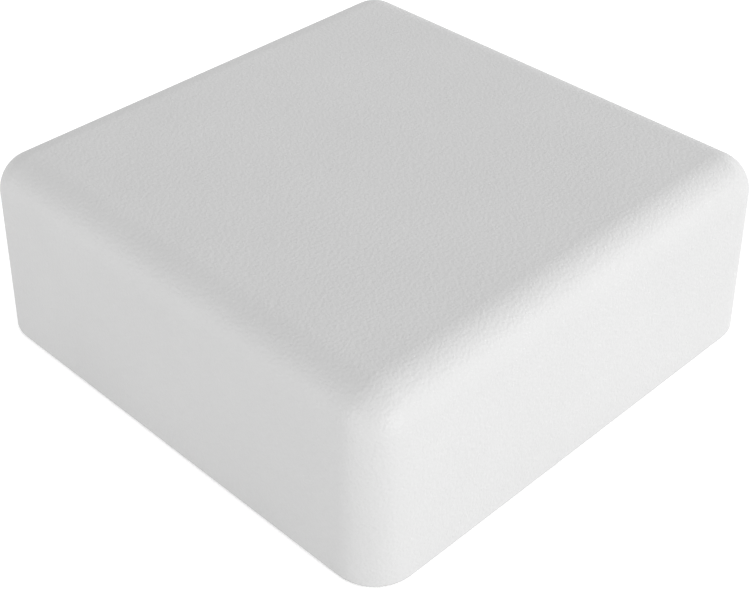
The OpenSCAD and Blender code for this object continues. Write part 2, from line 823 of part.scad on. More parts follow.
module swept_tube(path, r) {
    n = len(path);
    rings = [
        for (k = [0 : n - 1]) ring_at(path[k], unit(path[min(k + 1, n - 1)] - path[max(k - 1, 0)]), r)
    ];
    points = [for (ring = rings, q = ring) q];
    walls = [
        for (k = [0 : n - 2], s = [0 : lead_sides - 1]) let(
            a = k * lead_sides + s,
            b = k * lead_sides + (s + 1) % lead_sides
        ) each [[a, b, b + lead_sides], [a, b + lead_sides, a + lead_sides]]
    ];
    ends = [
        [for (s = [lead_sides - 1 : -1 : 0]) s],
        [for (s = [0 : lead_sides - 1]) (n - 1) * lead_sides + s]
    ];
    polyhedron(points, concat(walls, ends));
}

// Lead from the end board's end, round the cell's corner and along its side to the plug: the
// outer lead has side 1 and the inner one -1
module battery_lead(side) {
    gap = lead_pitch / 2 * side;
    start = [battery_half_w - end_board_w / 2 + gap, -battery_d * end_board_share / 2 - touch, lead_start_z];
    finish = [plug_x + plug_w + touch, header_y - gap, lead_z];
    path = lead_curve([
        start + [0, lead_straight, 0], start, start - [0, lead_straight, 0],
        lead_bend + [gap, -gap, 0] * bend_share, lead_run - [0, gap, 0],
        finish + [lead_straight, 0, 0], finish, finish - [lead_straight, 0, 0]
    ], lead_steps);
    swept_tube(path, lead_r);
}

module battery_lead_plus() {
    color("red") battery_lead(1);
}

module battery_lead_minus() {
    color("black") battery_lead(-1);
}

module battery_plug() {
    inner_d = header_d - 2 * header_wall - 2 * plug_gap;
    inner_h = header_t - 2 * header_wall - 2 * plug_gap;
    color("white") difference() {
        translate([plug_x, header_y - inner_d / 2, lead_z - inner_h / 2]) cube([plug_w, inner_d, inner_h]);
        for (y = [-1, 1]) translate([plug_x - over, header_y + y * lead_pitch / 2, lead_z])
            rotate([0, 90, 0]) cylinder(r = header_pin_r + plug_gap, h = plug_w - header_wall + over);
    }
}

module battery_header() {
    color("ivory") difference() {
        translate([header_x, header_y - header_d / 2, header_z]) cube([header_w, header_d, header_t]);
        translate([header_x + header_w - plug_in - plug_gap, header_y - header_d / 2 + header_wall,
            header_z + header_wall])
            cube([plug_in + plug_gap + over, header_d - 2 * header_wall, header_t - 2 * header_wall]);
        for (y = [-1, 1]) translate([header_x - over, header_y + y * lead_pitch / 2, lead_z])
            rotate([0, 90, 0]) cylinder(r = header_pin_r, h = header_w);
    }
}

module header_pins() {
    color("silver") for (y = [-1, 1]) translate([header_x - seal_gap, header_y + y * lead_pitch / 2, lead_z])
        rotate([0, 90, 0]) cylinder(r = header_pin_r, h = header_w);
}

// Section of the socket's shell, with the two slanted corners that key the plug
module socket_section(w, h) {
    slant = h * key_share;
    polygon([
        [-w / 2, h / 2], [w / 2, h / 2], [w / 2, -h / 2 + slant], [w / 2 - slant, -h / 2],
        [-w / 2 + slant, -h / 2], [-w / 2, -h / 2 + slant]
    ]);
}

module at_socket(y) {
    translate([socket_x, y, port_z]) rotate([90, 0, 0]) children();
}

module socket_shell() {
    color("silver") difference() {
        at_socket(socket_front_y) linear_extrude(socket_d) socket_section(socket_w, socket_h);
        at_socket(socket_front_y + over) linear_extrude(socket_d + 2 * over)
            socket_section(socket_w - 2 * socket_wall, socket_h - 2 * socket_wall);
    }
}

// Insulator that plugs the back of the shell and carries the contacts on a tongue
module socket_tongue() {
    color("black") {
        at_socket(socket_back_y + socket_back) linear_extrude(socket_back)
            socket_section(socket_w - 2 * socket_wall - 2 * touch, socket_h - 2 * socket_wall - 2 * touch);
        translate([socket_x - tongue_w / 2, socket_back_y + socket_back / 2, port_z])
            cube([tongue_w, socket_d - socket_back, tongue_t]);
    }
}

module socket_contacts() {
    pitch = tongue_w / contacts;
    color("gold") for (k = [0 : contacts - 1])
        translate([
            socket_x - tongue_w / 2 + k * pitch + pitch / 4, socket_back_y + socket_back, port_z - contact_t
        ])
            cube([pitch / 2, socket_d - 2 * socket_back, contact_t]);
}

module switch_body() {
    color("black") difference() {
        translate([button_x - switch_w / 2, switch_front_y - switch_d, port_z - socket_h / 2])
            cube([switch_w, switch_d, socket_h]);
        translate([button_x - plunger_w / 2 - touch, switch_front_y - plunger_in - button_travel - touch,
            port_z - plunger_h / 2 - touch])
            cube([plunger_w + 2 * touch, plunger_in + button_travel + touch + over, plunger_h + 2 * touch]);
    }
}

module switch_plunger() {
    color("ivory") translate([button_x - plunger_w / 2, switch_front_y - plunger_in, port_z - plunger_h / 2])
        cube([plunger_w, plunger_in + plunger_out, plunger_h]);
}

module power_button() {
    head_y = port_y - recess_depth - touch;
    color("gray") {
        translate([button_x, button_tail_y, port_z]) rotate([-90, 0, 0])
            cylinder(r = button_r, h = head_y - button_tail_y);
        translate([button_x - button_r - flange_side, flange_y - flange_t, port_z - flange_half_h])
            cube([2 * (button_r + flange_side), flange_t, 2 * flange_half_h]);
    }
}

module status_led() {
    color("white") translate([pipe_x, board_back_y - led_d, board_z - socket_h]) {
        centred_box(led_w, led_d, socket_h);
        translate([0, led_d / 2, socket_h / 2]) rotate([-90, 0, 0]) cylinder(r = lens_r, h = lens_r / 2);
    }
}

module light_pipe() {
    tail_y = board_back_y - touch;
    color("azure") translate([pipe_x, 0, port_z]) rotate([-90, 0, 0]) {
        translate([0, 0, tail_y]) cylinder(r = pipe_r, h = port_y - recess_depth - touch - tail_y);
        translate([0, 0, flange_y - flange_t]) cylinder(r = pipe_r + flange_side / 2, h = flange_t);
    }
}

module port_door() {
    free_x = hinge_x + door_w;
    half = door_h / 2;
    r = door_corner_r;
    color("whitesmoke") on_back_wall() {
        translate([hinge_x, -door_t, -half]) cube([free_x - r - hinge_x, door_t, door_h]);
        translate([hinge_x, -door_t, -(half - r)]) cube([door_w, door_t, 2 * (half - r)]);
        for (z = [-1, 1]) translate([free_x - r, 0, z * (half - r)]) rotate([90, 0, 0])
            cylinder(r = r, h = door_t);
        translate([hinge_x, -knuckle_r, -half]) cylinder(r = knuckle_r, h = door_h);
        translate([hinge_x, -knuckle_r, -half - trunnion_len])
            cylinder(r = trunnion_r, h = door_h + 2 * trunnion_len);
    }
}

// Soft plug on the door's inner face that fills the pocket round the socket's mouth
module door_seal() {
    side = pocket_side - door_gap;
    depth = pocket_depth + door_seat - door_gap;
    color("dimgray") on_back_wall() translate([socket_x, -door_t, 0]) rotate([90, 0, 0])
        rounded_block(socket_w / 2 + side, pocket_half_h - door_gap, side, depth);
}

top_cover();
base_cover();
cover_seal();
case_screws();
threaded_inserts();
main_board();
board_screws();
antenna_tape();
antenna_ceramic();
antenna_electrode();
antenna_pin();
cellular_antenna();
cellular_antenna_track();
modem_base();
modem_can();
gnss_base();
gnss_can();
processor_chip();
sim_chip();
motion_sensor();
charger_chip();
power_inductors();
bulk_capacitors();
crystal_can();
chip_passives();
battery_cell();
battery_end_board();
battery_tape();
battery_pad_lower();
battery_pad_upper();
battery_lead_plus();
battery_lead_minus();
battery_plug();
battery_header();
header_pins();
socket_shell();
socket_tongue();
socket_contacts();
switch_body();
switch_plunger();
power_button();
status_led();
light_pipe();
port_door();
door_seal();
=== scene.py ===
"""Looks of a square battery position tracker: finishes, turned and moulded pieces, stage, camera."""
import math

import bmesh
import bpy
import numpy as np
from bpy.props import FloatProperty, FloatVectorProperty, IntProperty, PointerProperty
from mathutils import Matrix, Vector


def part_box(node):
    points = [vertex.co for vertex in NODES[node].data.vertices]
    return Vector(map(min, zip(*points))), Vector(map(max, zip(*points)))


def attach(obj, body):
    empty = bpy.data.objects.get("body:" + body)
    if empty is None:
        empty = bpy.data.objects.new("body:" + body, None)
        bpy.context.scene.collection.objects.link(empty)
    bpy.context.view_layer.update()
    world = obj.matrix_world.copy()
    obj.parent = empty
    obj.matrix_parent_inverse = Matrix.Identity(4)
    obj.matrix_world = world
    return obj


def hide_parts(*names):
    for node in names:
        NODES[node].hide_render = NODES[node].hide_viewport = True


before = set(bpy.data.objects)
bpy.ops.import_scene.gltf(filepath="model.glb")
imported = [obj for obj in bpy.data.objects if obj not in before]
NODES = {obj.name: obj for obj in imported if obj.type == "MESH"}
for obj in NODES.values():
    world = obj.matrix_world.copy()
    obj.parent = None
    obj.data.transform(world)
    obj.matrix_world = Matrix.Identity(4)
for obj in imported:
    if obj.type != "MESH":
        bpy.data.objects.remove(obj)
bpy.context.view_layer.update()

bl_info = {
    "name": "Position tracker looks",
    "version": (1, 0, 0),
    "blender": (4, 5, 0),
    "location": "3D View > Sidebar > Tracker",
    "description": "Dresses the packed tracker: moulded shell, port, board, battery, stage",
    "category": "Object",
}

MM = 0.001
TURN = 2 * math.pi
SAME_PLACE = 1e-6  # metres within which two vertices of a CAD node are one
SHARP = math.radians(35)  # edges that turn by more stay sharp, or get the bevel
DISH_STEPS = (0.5, 0.33, 0.17)  # share of a dish's depth that each ring goes down, from the rim in
FLOOR_REACH, FLOOR_LINES = 3.0, 13  # metres from the middle to a side, and grid lines each way
PANEL_DISTANCE = 2.0  # metres from the tracker to each soft panel


# Sizes and colours that a user would change


def length(name, text, millimetres, **more):
    """A length property, given in millimetres and kept in metres."""
    return FloatProperty(
        name=name, description=text, default=millimetres * MM, min=0.0, precision=6, unit="LENGTH", **more
    )


def colour(name, text, red, green, blue):
    """A colour property in linear light."""
    return FloatVectorProperty(
        name=name, description=text, default=(red, green, blue), size=3, subtype="COLOR", min=0.0, max=1.0
    )


def amount(name, text, default, low=0.0, high=1.0):
    """A plain number property."""
    return FloatProperty(name=name, description=text, default=default, min=low, max=high, precision=3)


def power(name, text, watts):
    """The power of one of the stage's soft panels."""
    return amount(name, f"Power of the {text}, in watts", watts, 0.0, 50.0)


class CaseLook(bpy.types.PropertyGroup):
    """Moulded shell and its rubber."""

    shell: colour("Shell", "Colour of the moulded cover and base", 0.55, 0.55, 0.55)
    door: colour(
        "Door", "Colour of the port door, from another shot of the same plastic", 0.545, 0.545, 0.545
    )
    rubber: colour("Rubber", "Colour of the seals", 0.012, 0.012, 0.013)
    roughness: amount("Roughness", "Gloss of the shell: 0 is a mirror, 1 is chalk", 0.5)
    grain_size: length("Grain size", "Distance between the pebbles of the moulded grain", 0.43)
    grain_depth: length("Grain depth", "Height of the pebbles", 0.05)


class PortLook(bpy.types.PropertyGroup):
    """What sits behind the port door."""

    button: colour("Button", "Colour of the power button", 0.22, 0.22, 0.23)
    tongue: colour("Tongue", "Colour of the socket's tongue", 0.006, 0.006, 0.006)
    lamp: colour("Lamp", "Colour of the status lamp's body", 0.80, 0.80, 0.72)
    lens: colour("Light pipe", "Tint of the clear light pipe", 0.93, 0.97, 1.0)


class BoardLook(bpy.types.PropertyGroup):
    """Board and what is soldered to it."""

    mask: colour("Solder mask", "Colour of the board's lacquer", 0.006, 0.075, 0.026)
    track: colour("Track", "Colour of the lacquer over copper", 0.014, 0.13, 0.045)
    chip: colour("Chip", "Colour of the moulded chips", 0.012, 0.012, 0.014)
    pitch: length("Track pitch", "Distance between the board's tracks", 0.95)


class BatteryLook(bpy.types.PropertyGroup):
    """Battery pack and its leads."""

    pouch: colour("Pouch", "Colour of the foil laminate", 0.46, 0.48, 0.52)
    film: colour("Film", "Colour of the heat proof film over the end board", 0.46, 0.17, 0.012)
    foam: colour("Foam", "Colour of the pads", 0.045, 0.045, 0.05)
    plus: colour("Plus lead", "Colour of the positive lead", 0.36, 0.006, 0.006)
    minus: colour("Minus lead", "Colour of the negative lead", 0.006, 0.006, 0.006)
    lead_sides: IntProperty(
        name="Lead sides", description="Sides of a lead's round", default=20, min=8, max=48
    )


class FastenerLook(bpy.types.PropertyGroup):
    """Screws and threaded inserts."""

    pitch: length("Thread pitch", "Rise of the screw thread in one turn", 0.4)
    depth: length("Thread depth", "Depth of the screw thread", 0.16)
    edge: length("Head edge", "Rounding of the screw heads", 0.18)
    knurls: IntProperty(name="Knurls", description="Ridges round an insert", default=28, min=8, max=60)
    knurl_depth: length("Knurl depth", "Depth of an insert's knurling", 0.1)


class StageLook(bpy.types.PropertyGroup):
    """Floor, lights and camera."""

    floor: colour("Floor", "Colour of the floor", 0.9, 0.9, 0.9)
    floor_glow: amount(
        "Floor glow", "Light that the floor gives off, which the tracker doesn't get", 0.36, 0.0, 4.0
    )
    sky: amount("Sky", "Strength of the even light from all round", 0.79, 0.0, 4.0)
    front: power("Front light", "low panel square to the right-hand side", 18.3)
    right: power("Right light", "panel at the right", 9.9)
    left: power("Left light", "low panel square to the left-hand side", 9.0)
    far_right: power("Far right light", "panel behind on the right", 7.3)
    far_left: power("Far left light", "low panel behind on the left", 3.6)
    back: power("Back light", "panel behind the tracker", 1.4)
    azimuth: amount(
        "Azimuth", "Direction of the camera, in degrees round the tracker", -45.16, -180.0, 180.0
    )
    elevation: amount("Elevation", "Height of the camera, in degrees", 37.064, -90.0, 90.0)
    distance: length("Distance", "From the camera to what it looks at", 195.9)
    roll: amount("Roll", "Tilt of the camera, in degrees", 0.1753, -10.0, 10.0)
    lens: amount("Lens", "Focal length for a 36 mm sensor, in millimetres", 71.8, 10.0, 300.0)


# Finishes: each is a material of its own nodes, and every pattern reads Object coordinates in metres


class Finish:
    """A material that is built step by step on one Principled shader."""

    def __init__(self, name, tint, roughness, **sockets):
        self.material = bpy.data.materials.new(name)
        self.material.use_nodes = True
        self.tree = self.material.node_tree
        self.tree.nodes.clear()
        self.shader = self.node("BsdfPrincipled")
        self.join(self.shader.outputs[0], self.node("OutputMaterial").inputs["Surface"])
        self.place = self.node("TexCoord").outputs["Object"]
        self.normal = None
        self.shader.inputs["Base Color"].default_value = (*tint, 1.0)
        self.shader.inputs["Roughness"].default_value = roughness
        for key, value in sockets.items():
            self.shader.inputs[key.replace("_", " ")].default_value = value

    def node(self, kind, **inputs):
        """A new node of that kind, with those inputs set."""
        made = self.tree.nodes.new("ShaderNode" + kind)
        for key, value in inputs.items():
            made.inputs[key.replace("_", " ")].default_value = value
        return made

    def join(self, source, target):
        """Links an output to an input."""
        self.tree.links.new(source, target)

    def stretched(self, x, y, z, turn=0.0):
        """Object coordinates stretched along each axis and turned about Z."""
        mapping = self.node("Mapping", Scale=(x, y, z), Rotation=(0.0, 0.0, turn))
        self.join(self.place, mapping.inputs["Vector"])
        return mapping.outputs[0]

    def noise(self, size, detail=2.0, roughness=0.5, place=None):
        """Soft noise from 0 to 1 whose features are about size apart."""
        made = self.node("TexNoise", Scale=1 / size, Detail=detail, Roughness=roughness)
        self.join(place or self.place, made.inputs["Vector"])
        return made.outputs[0]

    def cells(self, size, place=None):
        """Cells about size across: the distance from the nearest cell's middle."""
        made = self.node("TexVoronoi", Scale=1 / size)
        self.join(place or self.place, made.inputs["Vector"])
        return made.outputs[0]

    def bands(self, size, axis, place):
        """Straight bands across one axis, size apart."""
        made = self.node("TexWave", Scale=1 / (size * math.pi))
        made.wave_type, made.bands_direction, made.wave_profile = "BANDS", axis, "SIN"
        self.join(place, made.inputs["Vector"])
        return made.outputs[1]

    def swayed(self, size, shift):
        """Object coordinates pushed about by noise, so that a pattern on them looks cast, not drawn."""
        wander = self.node("TexNoise", Scale=1 / size, Detail=1.0)
        self.join(self.place, wander.inputs["Vector"])
        push = self.node("VectorMath")
        push.operation = "MULTIPLY_ADD"
        self.join(wander.outputs[1], push.inputs[0])
        push.inputs[1].default_value = (shift,) * 3
        self.join(self.place, push.inputs[2])
        return push.outputs[0]

    def sum(self, first, second, share):
        """first plus share times second."""
        made = self.node("Math")
        made.operation = "MULTIPLY_ADD"
        self.join(second, made.inputs[0])
        made.inputs[1].default_value = share
        self.join(first, made.inputs[2])
        return made.outputs[0]

    def ranged(self, value, low, high, to_low, to_high):
        """value from low to high carried to to_low to to_high, and held beyond."""
        made = self.node("MapRange", From_Min=low, From_Max=high, To_Min=to_low, To_Max=to_high)
        self.join(value, made.inputs["Value"])
        return made.outputs[0]

    def tint(self, value, *stops):
        """Colours the surface by value, through (place, colour) stops."""
        ramp = self.node("ValToRGB")
        points = ramp.color_ramp.elements
        while len(points) < len(stops):
            points.new(0.5)
        for point, (position, shade) in zip(points, stops):
            point.position = position
            point.color = (*shade, 1.0)
        self.join(value, ramp.inputs[0])
        self.join(ramp.outputs[0], self.shader.inputs["Base Color"])
        return self

    def mottle(self, tint, size, spread, detail=3.0):
        """Lightens and darkens the colour a little in soft patches."""
        dark, light = ([c * (1 + sign * spread) for c in tint] for sign in (-1, 1))
        return self.tint(self.noise(size, detail), (0.3, dark), (0.7, light))

    def gloss(self, value, low, high):
        """Carries the roughness from low to high as value goes from 0.25 to 0.75."""
        self.join(self.ranged(value, 0.25, 0.75, low, high), self.shader.inputs["Roughness"])
        return self

    def relief(self, value, depth):
        """Raises the surface by value times depth."""
        bump = self.node("Bump", Strength=1.0, Distance=depth)
        self.join(value, bump.inputs["Height"])
        if self.normal is not None:
            self.join(self.normal, bump.inputs["Normal"])
        self.normal = bump.outputs[0]
        self.join(self.normal, self.shader.inputs["Normal"])
        return self


def moulded_shell(name, tint, look):
    """Pale satin plastic with the fine pebbled grain of an etched mould."""
    finish = Finish(name, tint, look.roughness, Specular_IOR_Level=0.45)
    finish.mottle(tint, 14 * MM, 0.012)
    place = finish.swayed(2.2 * look.grain_size, 0.9 * look.grain_size)
    pebbles = finish.cells(look.grain_size, place)
    grain = finish.sum(pebbles, finish.noise(0.5 * look.grain_size, 2.0), 0.6)
    finish.gloss(finish.noise(5 * MM, 3.0), look.roughness - 0.03, look.roughness + 0.03)
    finish.relief(finish.noise(9 * MM, 1.0), 0.02 * MM)
    return finish.relief(grain, -look.grain_depth).material


def rubber(name, tint):
    """Matt elastomer with a trace of talc."""
    finish = Finish(name, tint, 0.62, Specular_IOR_Level=0.35)
    finish.tint(finish.noise(1.2 * MM, 4.0), (0.35, tint), (0.85, [3 * c for c in tint]))
    return finish.relief(finish.noise(0.12 * MM, 3.0), 0.004 * MM).material


def moulded(name, tint, roughness, grain=0.2 * MM):
    """Plain technical moulding: fine spark eroded texture and faint flow marks."""
    finish = Finish(name, tint, roughness, Specular_IOR_Level=0.45)
    finish.mottle(tint, 1.6 * MM, 0.06)
    finish.gloss(finish.noise(0.8 * MM, 3.0), roughness - 0.07, roughness + 0.07)
    return finish.relief(finish.noise(grain, 3.0), 0.004 * MM).material


def metal(name, tint, roughness, brush=None, spots=0.05):
    """Plated or bare metal: brushed along one axis or evenly dulled, with faint stains."""
    finish = Finish(name, tint, roughness, Metallic=1.0)
    finish.mottle(tint, 1.8 * MM, spots)
    if brush:
        lines = finish.noise(0.09 * MM, 4.0, 0.7, finish.stretched(*brush))
        finish.gloss(lines, roughness - 0.08, roughness + 0.1)
        return finish.relief(lines, 0.0015 * MM).material
    finish.gloss(finish.noise(0.5 * MM, 4.0), roughness - 0.07, roughness + 0.08)
    return finish.relief(finish.noise(0.16 * MM, 3.0), 0.0015 * MM).material


def solder_mask(name, look, tint, track):
    """Lacquered board: tracks that show through as lighter, slightly raised bands in patches."""
    finish = Finish(name, tint, 0.3, Specular_IOR_Level=0.5, Coat_Weight=0.25, Coat_Roughness=0.18)
    along = finish.bands(look.pitch, "X", finish.swayed(9 * MM, 0.6 * MM))
    across = finish.bands(look.pitch, "Y", finish.swayed(7 * MM, 0.6 * MM))
    patch = finish.ranged(finish.noise(5 * MM, 0.0), 0.495, 0.505, 0.0, 1.0)
    pick = finish.node("Mix")
    finish.join(patch, pick.inputs[0])
    finish.join(along, pick.inputs[2])
    finish.join(across, pick.inputs[3])
    plain = finish.ranged(finish.noise(11 * MM, 1.0), 0.5, 0.52, 0.0, 0.5)
    copper = finish.ranged(finish.sum(pick.outputs[0], plain, -1.0), 0.72, 0.8, 0.0, 1.0)
    finish.tint(copper, (0.1, tint), (0.9, track))
    finish.relief(copper, 0.02 * MM)
    return finish.relief(finish.noise(0.25 * MM, 3.0), 0.003 * MM).material


def ceramic(name, tint, speck, roughness):
    """Fired ceramic: pale grains in a darker body, and tiny pores."""
    finish = Finish(name, tint, roughness, Specular_IOR_Level=0.45)
    finish.tint(finish.noise(0.22 * MM, 4.0, 0.7), (0.32, speck), (0.6, tint))
    finish.relief(finish.ranged(finish.cells(0.3 * MM), 0.0, 0.2, 0.0, 1.0), 0.006 * MM)
    return finish.relief(finish.noise(0.08 * MM, 3.0), 0.003 * MM).material


def chip_epoxy(name, tint):
    """Filled epoxy of a chip: black with a fine mineral sparkle."""
    finish = Finish(name, tint, 0.46, Specular_IOR_Level=0.45)
    finish.tint(finish.noise(0.05 * MM, 3.0, 0.8), (0.45, tint), (0.8, [3.2 * c for c in tint]))
    finish.gloss(finish.noise(1.1 * MM, 3.0), 0.38, 0.54)
    return finish.relief(finish.noise(0.06 * MM, 3.0), 0.003 * MM).material


def foil_pouch(name, tint):
    """Aluminium laminate: satin, with soft dents and fine wrinkles."""
    finish = Finish(name, tint, 0.34, Metallic=0.85)
    finish.mottle(tint, 9 * MM, 0.05)
    finish.gloss(finish.noise(2.4 * MM, 4.0), 0.26, 0.44)
    finish.relief(finish.noise(7 * MM, 2.0), 0.12 * MM)
    wrinkles = finish.noise(1.1 * MM, 4.0, 0.6, finish.stretched(1.0, 0.35, 1.0))
    return finish.relief(wrinkles, 0.02 * MM).material


def film(name, tint):
    """Thin amber film: clear gloss over small trapped bubbles."""
    finish = Finish(name, tint, 0.16, Coat_Weight=0.5, Coat_Roughness=0.06)
    finish.mottle(tint, 3 * MM, 0.12)
    finish.relief(finish.ranged(finish.cells(1.3 * MM), 0.0, 0.16, 1.0, 0.0), 0.012 * MM)
    return finish.relief(finish.noise(4 * MM, 2.0), 0.03 * MM).material


def foam(name, tint):
    """Open cell foam: pores sunk between ribs, darkened by painted shade, with the ribs painted paler."""
    finish = Finish(name, tint, 0.85, Specular_IOR_Level=0.2, Sheen_Weight=0.15)
    pores = finish.cells(0.34 * MM, finish.swayed(0.5 * MM, 0.2 * MM))
    # painted shade: the colour darkens towards each pore's middle, where the relief below sinks the
    # surface, and lightens on the ribs
    finish.tint(pores, (0.12, [0.35 * c for c in tint]), (0.5, [1.5 * c for c in tint]))
    return finish.relief(pores, 0.09 * MM).material


def clear_acrylic(name, tint):
    """Clear moulded acrylic with faint flow lines."""
    finish = Finish(name, tint, 0.08, Transmission_Weight=1.0, IOR=1.49)
    finish.gloss(finish.noise(0.4 * MM, 2.0), 0.05, 0.14)
    return finish.relief(finish.noise(0.9 * MM, 1.0), 0.006 * MM).material


def paper_tape(name, tint):
    """Adhesive pad: soft fibre clouds and a dull face."""
    finish = Finish(name, tint, 0.7, Specular_IOR_Level=0.3)
    finish.mottle(tint, 0.6 * MM, 0.05, 5.0)
    return finish.relief(finish.noise(0.2 * MM, 4.0), 0.006 * MM).material


def gold_plate(name, tint):
    """Thin plated gold, slightly matt, with faint rinse marks."""
    finish = Finish(name, tint, 0.3, Metallic=1.0)
    finish.mottle(tint, 0.9 * MM, 0.08)
    finish.gloss(finish.noise(0.3 * MM, 3.0), 0.22, 0.4)
    return finish.relief(finish.noise(0.1 * MM, 2.0), 0.001 * MM).material


def dress(material, *names):
    """Gives CAD nodes that material in every slot that they have."""
    for name in names:
        piece = NODES[name]
        if not piece.material_slots:
            piece.data.materials.append(material)
        for slot in piece.material_slots:
            slot.material = material


# Surfaces: whole arrays of points on a grid of two parameters


def grid_quads(rows, columns, close_rows=False, close_columns=True):
    """Corner numbers of the quads of a rows by columns grid, each wrapped round where it closes."""
    i = np.arange(rows if close_rows else rows - 1)
    j = np.arange(columns if close_columns else columns - 1)
    i, j = np.meshgrid(i, j, indexing="ij")
    below, beside = (i + 1) % rows, (j + 1) % columns
    quads = np.stack(
        [i * columns + j, i * columns + beside, below * columns + beside, below * columns + j], -1
    )
    return quads.reshape(-1, 4)


def joined(*grids):
    """Several (points, quads) surfaces as one."""
    starts = np.cumsum([0] + [len(points) for points, _ in grids[:-1]])
    quads = [own + start for (_, own), start in zip(grids, starts)]
    return np.concatenate([points for points, _ in grids]), np.concatenate(quads)


def copied(surface, places):
    """The same surface once at each place."""
    points, quads = surface
    places = np.asarray(places, float).reshape(-1, 1, 3)
    shifts = np.arange(len(places)).reshape(-1, 1, 1) * len(points)
    return (points[None] + places).reshape(-1, 3), (quads[None] + shifts).reshape(-1, 4)


def as_piece(name, mesh, material, body, nodes):
    """The mesh as a piece of that material, smooth but for its sharp edges, on its body, with the CAD nodes
    it stands for hidden.
    """
    mesh.shade_smooth()
    mesh.set_sharp_from_angle(angle=SHARP)
    mesh.materials.clear()
    mesh.materials.append(material)
    piece = bpy.data.objects.new(name, mesh)
    bpy.context.scene.collection.objects.link(piece)
    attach(piece, body)
    if nodes:
        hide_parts(*nodes)
    return piece


def new_piece(name, surface, material, body, nodes=()):
    """A mesh piece from (points, quads): doubles merged and faces turned outwards."""
    points, quads = surface
    mesh = bpy.data.meshes.new(name)
    mesh.vertices.add(len(points))
    mesh.vertices.foreach_set("co", np.ascontiguousarray(points, np.float32).ravel())
    mesh.loops.add(quads.size)
    mesh.loops.foreach_set("vertex_index", quads.astype(np.int32).ravel())
    mesh.polygons.add(len(quads))
    mesh.polygons.foreach_set("loop_start", np.arange(0, quads.size, 4, dtype=np.int32))
    mesh.update(calc_edges=True)
    work = bmesh.new()
    work.from_mesh(mesh)
    bmesh.ops.remove_doubles(work, verts=work.verts, dist=1e-7)
    bmesh.ops.dissolve_degenerate(work, edges=work.edges, dist=1e-8)
    bmesh.ops.recalc_face_normals(work, faces=work.faces)
    work.to_mesh(mesh)
    work.free()
    return as_piece(name, mesh, material, body, nodes)


def turned(profile, columns, ripple=None):
    """A turned surface about Z: each (radius, height) of the profile is carried once round the axis.
    ripple(angle, radius, height) may add to the radius, as for a thread or a hexagon."""
    radius, height = np.asarray(profile, float).T[:, :, None]
    angle = np.linspace(0, TURN, columns, endpoint=False)[None, :]
    radius = radius + (ripple(angle, radius, height) if ripple else 0 * angle)
    points = np.stack(np.broadcast_arrays(radius * np.cos(angle), radius * np.sin(angle), height), -1)
    return points.reshape(-1, 3), grid_quads(len(profile), columns)


def moved(surface, x, y, z):
    """The surface carried by (x, y, z)."""
    return surface[0] + np.array([x, y, z]), surface[1]


def slab_profile(half, h, edge, crown, arcs, rings):
    """Profile of a slab of that height as (inset, height) rows, from the middle of its underside over
    rounded edges to the middle of its top. The faces swell by the crown: their height falls off with
    the square of the way from the middle to the edge."""
    near, far = min(half), max(half)
    arc = np.linspace(0, math.pi / 2, arcs)
    share = np.linspace(1.0, 0.12, rings)[::-1]
    swell = np.stack([edge + share * (near - edge), h - crown * (1 - share) ** 2], -1)
    top = np.concatenate([
        np.stack([edge * (1 - np.cos(arc)), h - crown - edge * (1 - np.sin(arc))], -1), swell, [(far, h)]
    ])
    under = (top * (1, -1) + (0, h))[::-1]
    return np.concatenate([under, top])


def block(half_x, half_y, corner, profile, steps):
    """A profile carried round a rounded rectangle: at each inset the outline's corner radius is the
    corner less the inset, but not under zero, and its corner centres stand in by what is left."""
    inset, height = np.asarray(profile, float).T[:, :, None]
    turn = np.linspace(0, math.pi / 2, steps)
    angle = np.concatenate([turn + k * math.pi / 2 for k in range(4)])[None, :]
    way_x = np.repeat([1, -1, -1, 1], steps)[None, :]
    way_y = np.repeat([1, 1, -1, -1], steps)[None, :]
    radius = np.maximum(corner - inset, 0)
    x = way_x * np.maximum(half_x - inset - radius, 0) + radius * np.cos(angle)
    y = way_y * np.maximum(half_y - inset - radius, 0) + radius * np.sin(angle)
    points = np.stack(np.broadcast_arrays(x, y, height), -1)
    return points.reshape(-1, 3), grid_quads(len(profile), 4 * steps)


def boxed(low, high, corner, edge, crown=0.0, steps=7, arcs=5, rings=6):
    """A slab that fills a box, with round corners, rounded edges and swelling faces."""
    middle, half = (low + high) / 2, (high - low) / 2
    profile = slab_profile((half.x, half.y), high.z - low.z, edge, crown, arcs, rings)
    return moved(block(half.x, half.y, corner, profile, steps), middle.x, middle.y, low.z)


def solid_boxes(node):
    """The lowest and highest corner of each separate solid in a CAD node."""
    work = bmesh.new()
    work.from_mesh(NODES[node].data)
    bmesh.ops.remove_doubles(work, verts=work.verts, dist=SAME_PLACE)
    left, boxes = set(work.verts), []
    while left:
        solid, edge = set(), [left.pop()]
        while edge:
            solid.update(edge)
            edge = list({e.other_vert(v) for v in edge for e in v.link_edges} - solid)
        left -= solid
        places = np.array([v.co for v in solid])
        boxes.append((Vector(places.min(0)), Vector(places.max(0))))
    work.free()
    return sorted(boxes, key=lambda box: (round(box[0].x, 6), round(box[0].y, 6)))


def smooth_path(knots, steps):
    """A Catmull-Rom curve through all knots but the first and last, which set its end directions."""
    p = np.asarray(knots, float)
    t = (np.arange(steps) / steps)[None, :, None]
    before, a, b, after = (p[k:len(p) - 3 + k, None] for k in range(4))
    spans = (2 * a + (b - before) * t + (2 * before - 5 * a + 4 * b - after) * t ** 2
             + (3 * a - before - 3 * b + after) * t ** 3) / 2
    return np.concatenate([spans.reshape(-1, 3), p[-2:-1]])


